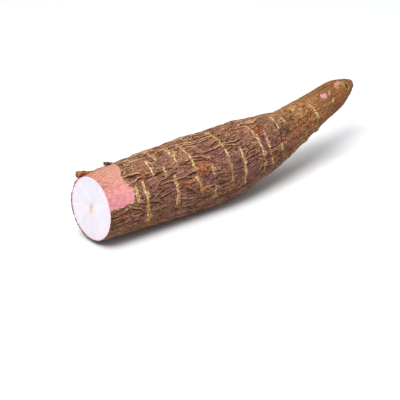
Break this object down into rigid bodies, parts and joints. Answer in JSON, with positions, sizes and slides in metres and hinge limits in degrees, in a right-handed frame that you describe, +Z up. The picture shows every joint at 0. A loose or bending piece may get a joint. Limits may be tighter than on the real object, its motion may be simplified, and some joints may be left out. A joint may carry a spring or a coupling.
{
  "type": "cassava root",
  "caption": "Whole tapering cassava root lying on its side, thick end cut square to show white flesh, rough brown bark with pale scar rings, a bare pink patch and a thin upturned tip.",
  "frame": {"origin": "on the surface the root lies on, below the middle of its outer box", "axes": "+X along the root from the cut end to the tip, +Z up, -Y the side with the bare patch and most of the scar rings"},
  "size_m": [0.3188, 0.0638, 0.0678],
  "materials": {
    "bark": "matte, rough fibrous bark"
  },
  "bodies": {
    "root": {"cassava_root": "bark"}
  },
  "joints": []
}
